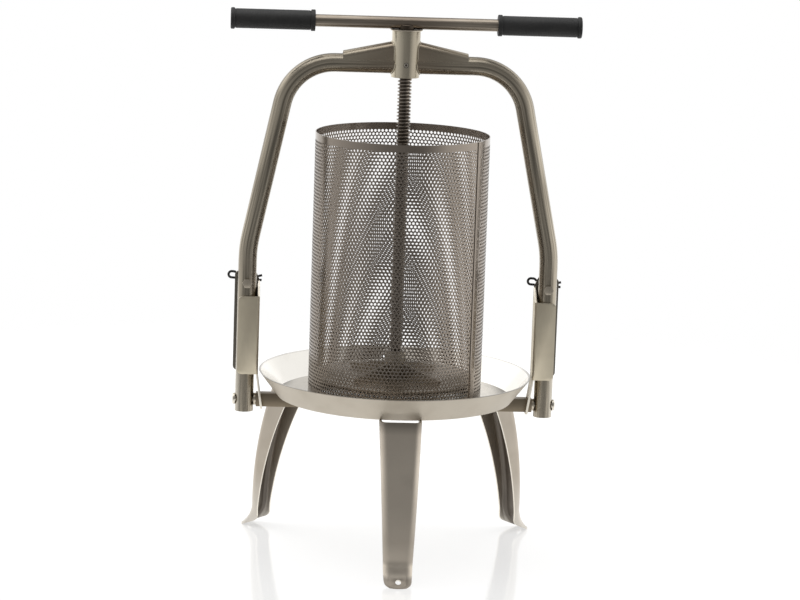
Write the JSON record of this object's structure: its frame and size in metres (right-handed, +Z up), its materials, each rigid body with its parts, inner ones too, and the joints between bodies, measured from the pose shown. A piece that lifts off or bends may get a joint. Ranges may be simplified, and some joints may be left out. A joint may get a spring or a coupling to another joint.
{
  "type": "screw fruit press",
  "caption": "Steel screw press with a perforated basket in a shallow juice pan on splayed legs, under a tube arch with a long screw and a crossbar handle.",
  "frame": {"origin": "on the floor, on the axis of the screw", "axes": "+Z up along the screw, -Y towards the front leg, X along the handle"},
  "size_m": [0.4, 0.39, 0.6241],
  "materials": {
    "frame_steel": "brushed stainless tube and sheet",
    "pan_steel": "bright spun stainless sheet",
    "leg_steel": "satin pressed stainless sheet",
    "bar_steel": "dull hot-rolled bar",
    "basket_steel": "perforated stainless sheet",
    "plate_steel": "satin stainless plate",
    "screw_steel": "dark cut thread",
    "handle_steel": "brushed stainless tube",
    "fastener_steel": "machined stainless",
    "nut_bronze": "machined bronze",
    "grip_rubber": "matt ribbed rubber",
    "clip_black": "black spring wire"
  },
  "bodies": {
    "stand": {"juice_pan": "pan_steel", "outlet_spout": "pan_steel", "front_leg": "leg_steel", "back_left_leg": "leg_steel", "back_right_leg": "leg_steel", "cross_bar": "bar_steel", "nut_hub": "frame_steel", "screw_nut": "nut_bronze", "nut_set_screw": "fastener_steel", "thrust_washer": "fastener_steel", "left_frame_tube": "frame_steel", "left_gusset": "frame_steel", "left_bracket": "frame_steel", "left_lock_pin": "fastener_steel", "left_pin_clip": "clip_black", "left_spacer": "fastener_steel", "left_foot_bolt": "fastener_steel", "right_frame_tube": "frame_steel", "right_gusset": "frame_steel", "right_bracket": "frame_steel", "right_lock_pin": "fastener_steel", "right_pin_clip": "clip_black", "right_spacer": "fastener_steel", "right_foot_bolt": "fastener_steel"},
    "basket": {"basket_wall": "basket_steel", "basket_seam": "basket_steel"},
    "plate": {"press_plate": "plate_steel", "plate_boss": "plate_steel", "front_swivel_pin": "fastener_steel", "back_swivel_pin": "fastener_steel", "thrust_button": "nut_bronze", "front_left_plate_rib": "plate_steel", "front_right_plate_rib": "plate_steel", "back_left_plate_rib": "plate_steel", "back_right_plate_rib": "plate_steel"},
    "screw": {"press_screw": "screw_steel", "handle_bar": "handle_steel", "left_grip": "grip_rubber", "right_grip": "grip_rubber"}
  },
  "joints": [
    {"name": "plate_travel", "type": "slide", "parent": "stand", "child": "plate", "axis": [0, 0, 1], "range_m": [0, 0.312]},
    {"name": "screw_turn", "type": "hinge", "parent": "plate", "child": "screw", "pos_m": [0, 0, 0.4], "axis": [0, 0, 1], "range_deg": [0, 28080.1]},
    {"name": "basket_lift", "type": "slide", "parent": "stand", "child": "basket", "axis": [0, 0, 1], "range_m": [0, 0.055]}
  ],
  "couplings": [
    {"joint": "screw_turn", "follows": "plate_travel", "rad_per_m": 1570.8}
  ]
}
